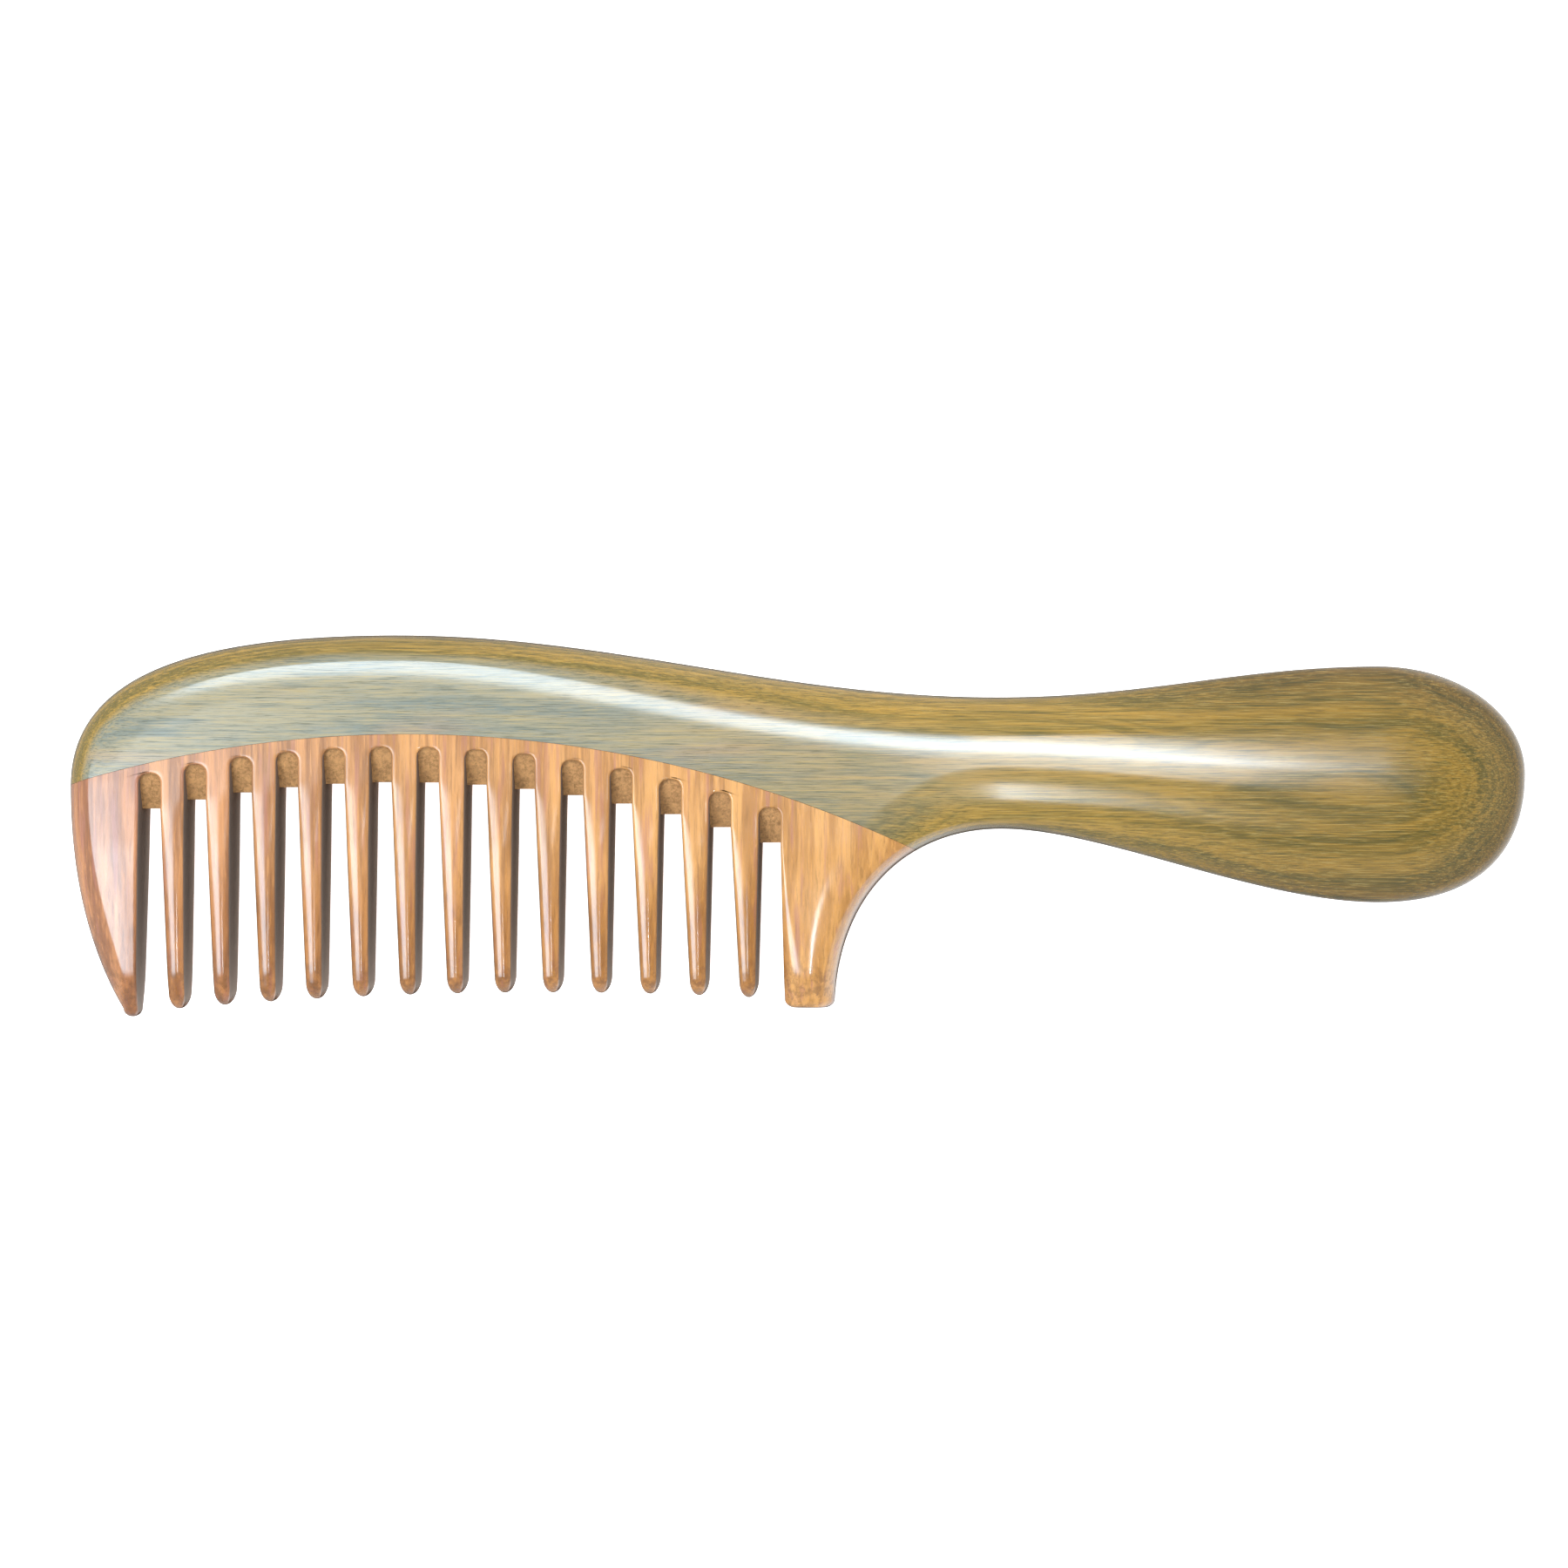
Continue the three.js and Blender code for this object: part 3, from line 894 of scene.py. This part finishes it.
def slat_figure(n, here, fibre, light, dark):
    """Light and dark grain down the tooth with streaks, and red blushes along it."""
    broad = n.noise(here, (0.4, 0.03, 0.4), 3, 0.6)
    tones = tuple(c * 1.2 for c in light), tuple(c * 0.5 for c in dark)
    colour = n.mix(n.ramp(broad, 0.38, 0.62), dark, light)
    colour = streaked(n, colour, fibre, tones, (0.5, 0.45), (0.68, 0.32))
    patches = n.noise(n.moved(here, (9, 9, 9)), (0.9, 0.05, 0.9), 3, 0.6)
    return n.mix(n.ramp(patches, 0.52, 0.68, 0, 0.5), colour, RED_BLUSH)


def tip_mottle_and_shade(n, here, y, colour, inside):
    """Mottled darker at the tips, and with painted shade growing down the slim teeth."""
    mottle = n.ramp(n.noise(here, (1.1, 0.9, 1.1), 4, 0.65), 0.45, 0.62)
    tip_mottle = n.math("MULTIPLY", mottle, n.ramp(y, -16, -22, 0, 0.5))
    colour = n.mix(tip_mottle, colour, DARK_TIP_MOTTLE)
    # Painted shade, darker down the slim teeth.
    shade_down_teeth = n.math("MULTIPLY", n.ramp(y, -3, -14), inside)
    return n.mix(shade_down_teeth, colour, TOOTH_SHADE, "MULTIPLY")


def slat_wood(name, seed, light, dark):
    """Polished slat wood, matte on the sawn flanks that face the gaps, with painted shade on those flanks.
    """
    n = Nodes(name)
    here = own_place(n, seed)
    fibre = n.noise(here, (2.4, 0.12, 2.4), 4, 0.7)
    x, y, _ = n.axes(n.place)
    first, last = TOOTHED_SPAN
    inside = n.math("MULTIPLY", n.ramp(x, first, first + 1), n.ramp(x, last - 1, last, 1, 0))
    flank = n.math("MULTIPLY", n.ramp(n.turned(0), 0.8, 0.98), inside)
    # Painted shade on the steep rims outside the toothed span.
    rim = n.math("MULTIPLY", rim_shade(n), n.math("SUBTRACT", 1.0, inside))

    colour = slat_figure(n, here, fibre, light, dark)
    colour = tip_mottle_and_shade(n, here, y, colour, inside)
    # The sawn flanks are matte wood with painted shade in dark grey-brown.
    colour = n.mix(n.math("MULTIPLY", flank, 0.9), colour, MATTE_SHADED_FLANK)
    colour = n.mix(rim, colour, SLAT_RIM_SHADE)
    hand_work = n.noise(here, (0.5, 0.35, 0.5), 2, 0.4)
    normal = wood_relief(n, here, (7, 0.5, 7), fibre, n.bump(hand_work, HAND_WORK_DEPTH))
    polish = n.math("SUBTRACT", 1.0, flank)
    return n.finish(colour, wood_roughness(n, fibre), normal, polish, POLISH_ROUGHNESS)


SAWN_DEPTH = 0.15
SAWN_ROUGHNESS = 0.85
SAWN_POLISH = 0.1


def end_grain(name, seed, tone):
    """The sawn pocket floors: matte, mottled and open-pored."""
    n = Nodes(name)
    here = own_place(n, seed)
    speck = n.noise(here, (2.2, 2.2, 2.2), 5, 0.7)
    cloud = n.noise(here, (0.5, 0.7, 0.5), 3, 0.6)
    deep = tuple(c * 0.55 for c in tone)
    pale = tuple(c * 1.2 for c in tone)
    colour = n.mix(n.ramp(speck, 0.35, 0.65), deep, tone)
    colour = n.mix(n.ramp(cloud, 0.4, 0.65, 0, 0.5), colour, pale)
    normal = n.bump(speck, SAWN_DEPTH)
    return n.finish(colour, SAWN_ROUGHNESS, normal, SAWN_POLISH)


# ---------------------------------------------------------------- the comb

# The slats drift from rose at the free end to gold at the handle. Each has a light and a
# dark grain.
ROSE = ((0.56, 0.245, 0.105), (0.31, 0.13, 0.06))
GOLD = ((0.7, 0.35, 0.11), (0.47, 0.215, 0.06))
FLOOR_TONE = (0.62, 0.33, 0.14)


def slat_tone(number):
    """The drift, with a small step of its own for each slat."""
    share = clamp((number + math.sin(number * 2.4)) / len(SEAMS)) ** 0.6
    return [tuple(lerp(r, g, share) for r, g in zip(rose, gold)) for rose, gold in zip(ROSE, GOLD)]


def place_piece(piece, node, materials):
    """Gives a piece its materials and smooth shading, hangs it under its body, and hides the CAD node it
    stands in for.
    """
    for material in materials:
        piece.data.materials.append(material)
    smooth_shading(piece)
    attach(piece, "root")
    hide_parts(node)


place_piece(spine_mesh(), "spine_handle", [spine_wood()])
slat_meshes = [
    left_guard_mesh(),
    *[slim_mesh(number) for number in range(1, len(SLIM) + 1)],
    right_guard_mesh(),
]
for seed, (piece, node) in enumerate(zip(slat_meshes, SLATS)):
    polished = slat_wood(f"slat_wood_{seed:02d}", seed, *slat_tone(seed))
    sawn_wood = end_grain(f"sawn_wood_{seed:02d}", seed, FLOOR_TONE)
    place_piece(piece, node, [polished, sawn_wood])

# ---------------------------------------------------------------- floor, light and camera, in metres

FLOOR_SIZE = 4


def make_floor():
    """A white floor with a glow of its own, so that it stays pale beside the comb."""
    under = CAD_LOW[2] - FLOOR_GAP * MM
    bpy.ops.mesh.primitive_plane_add(size=FLOOR_SIZE, location=(0, 0, under))
    floor = bpy.context.object
    floor.name = "floor"
    n = Nodes("pale_floor")
    shade = n.noise(n.place, (0.01, 0.01, 0.01), 2)
    colour = n.mix(shade, (0.86, 0.86, 0.86), (0.9, 0.9, 0.9))
    n.shader.inputs["Emission Color"].default_value = (1, 1, 1, 1)
    n.shader.inputs["Emission Strength"].default_value = 1.0
    floor.data.materials.append(n.finish(colour, 0.9, n.bump(shade, 0.01), 0.0))
    floor.visible_glossy = False


COOL = (0.74, 0.88, 1)
WARM = (1, 0.92, 0.8)
RIGHTWARD = (1, 0, 0)
DOWN_THE_BACK = (1, -0.3, 0)
LAMP_HEIGHT = 0.62
SIDE_HEIGHT = 0.56
KEY_HEIGHT = 0.6


def fade_edges(light, fades):
    """Dims a lamp smoothly towards its edges, over these shares of its two sides."""
    light.use_nodes = True
    tree = light.node_tree
    where = tree.nodes.new("ShaderNodeNewGeometry")
    spread = tree.nodes.new("ShaderNodeSeparateXYZ")
    tree.links.new(where.outputs["Parametric"], spread.inputs[0])
    product = tree.nodes.new("ShaderNodeMath")
    product.operation = "MULTIPLY"
    for axis, fade in enumerate(fades):
        from_edge = tree.nodes.new("ShaderNodeMath")
        from_edge.operation = "PINGPONG"
        from_edge.inputs[1].default_value = 0.5
        tree.links.new(spread.outputs[axis], from_edge.inputs[0])
        edge = smooth_step(tree, from_edge.outputs[0], 0, fade)
        tree.links.new(edge.outputs[0], product.inputs[axis])
    tree.links.new(product.outputs[0], tree.nodes["Emission"].inputs["Strength"])


def soft_box(name, place, along, size, power, fades, colour=COOL, shape="RECTANGLE"):
    """A lamp aimed at the comb, the first of its two sides along this direction."""
    light = bpy.data.lights.new(name, "AREA")
    light.shape = shape
    light.size, light.size_y = size
    light.energy = power
    light.color = colour
    fade_edges(light, fades)
    obj = bpy.data.objects.new(name, light)
    away = Vector(place).normalized()
    side = away.cross(Vector(along)).normalized()
    turn = Matrix((side.cross(away), side, away)).transposed()
    obj.matrix_world = Matrix.Translation(place) @ turn.to_4x4()
    obj.visible_camera = False
    bpy.context.scene.collection.objects.link(obj)
    return obj


def make_world():
    """A room dark overhead and bright round the sides, more so to the right and below."""
    world = bpy.data.worlds.new("studio")
    world.use_nodes = True
    tree = world.node_tree
    place = tree.nodes.new("ShaderNodeTexCoord")
    axes = tree.nodes.new("ShaderNodeSeparateXYZ")
    tree.links.new(place.outputs["Generated"], axes.inputs[0])
    rightward, _, upward = axes.outputs

    # Each ramp takes up from the one before: across the floor to the right, up from the
    # point straight below, up over the horizon, and up to the point overhead.
    floor_side = smooth_step(tree, rightward, -0.1, 0.4, 0.4, 1.3)
    nadir = smooth_step(tree, upward, -0.97, -0.86, 0.05)
    tree.links.new(floor_side.outputs[0], nadir.inputs["To Max"])
    low_half = smooth_step(tree, upward, -0.3, 0.1, 0, 0.6)
    tree.links.new(nadir.outputs[0], low_half.inputs["To Min"])
    whole = smooth_step(tree, upward, 0.7, 0.92, 0, 0.17)
    tree.links.new(low_half.outputs[0], whole.inputs["To Min"])
    tree.links.new(whole.outputs[0], tree.nodes["Background"].inputs["Strength"])
    tree.nodes["Background"].inputs["Color"].default_value = (1, 1, 1, 1)
    bpy.context.scene.world = world


def make_lights():
    """Each lamp hangs where one highlight of the polish mirrors it, but the key isn't mirrored."""
    # The long highlight on the crest of the head.
    upper_place = (-0.07, 0.165, LAMP_HEIGHT)
    soft_box("upper_softbox", upper_place, DOWN_THE_BACK, (0.36, 0.13), 1.5, (0.15, 0.25))
    # The same highlight along the neck, and its bright end at the bulb.
    neck_place = (0.038, 0.12, LAMP_HEIGHT)
    soft_box("neck_softbox", neck_place, RIGHTWARD, (0.11, 0.28), 0.66, (0.2, 0.1), shape="ELLIPSE")
    bulb_place = (0.08, 0.115, LAMP_HEIGHT)
    soft_box("bulb_lamp", bulb_place, RIGHTWARD, (0.04, 0.05), 0.08, (0.2, 0.3))
    # The sheen on the left guard and the left shoulders of the teeth.
    left_place = (-0.27, -0.11, SIDE_HEIGHT)
    soft_box("left_softbox", left_place, RIGHTWARD, (0.34, 0.38), 3.4, (0.3, 0.3))
    # The short second highlight on the underside of the neck.
    lower_place = (0.002, -0.185, LAMP_HEIGHT)
    soft_box("lower_lamp", lower_place, RIGHTWARD, (0.012, 0.15), 0.5, (0.3, 0.25))
    key_place = (-0.2, 0.25, KEY_HEIGHT)
    key = soft_box("key", key_place, RIGHTWARD, (0.4, 0.3), 3.4, (0.2, 0.2), WARM)
    key.visible_glossy = False


# The camera: how far it is, how wide a field it sees there, and where it aims.
VIEW_DISTANCE = 0.9
VIEW_WIDTH = 0.2155
VIEW_CENTRE = (-0.0014, 0.0058)
VIEW_TILT = math.radians(2.8)
SENSOR_WIDTH = 36
NEAREST = 0.05


def make_camera():
    """Looks down on the comb from a little past its middle, towards the handle."""
    aim = Matrix.Translation((*VIEW_CENTRE, MID * MM))
    tilt = Matrix.Rotation(VIEW_TILT, 4, "Y")
    data = bpy.data.cameras.new("camera")
    data.sensor_width = SENSOR_WIDTH
    data.lens = SENSOR_WIDTH * VIEW_DISTANCE / VIEW_WIDTH
    data.clip_start = NEAREST
    camera = bpy.data.objects.new("camera", data)
    camera.matrix_world = aim @ tilt @ Matrix.Translation((0, 0, VIEW_DISTANCE))
    bpy.context.scene.collection.objects.link(camera)
    bpy.context.scene.camera = camera


make_floor()
make_world()
make_lights()
make_camera()
bpy.context.scene.view_settings.view_transform = "Standard"
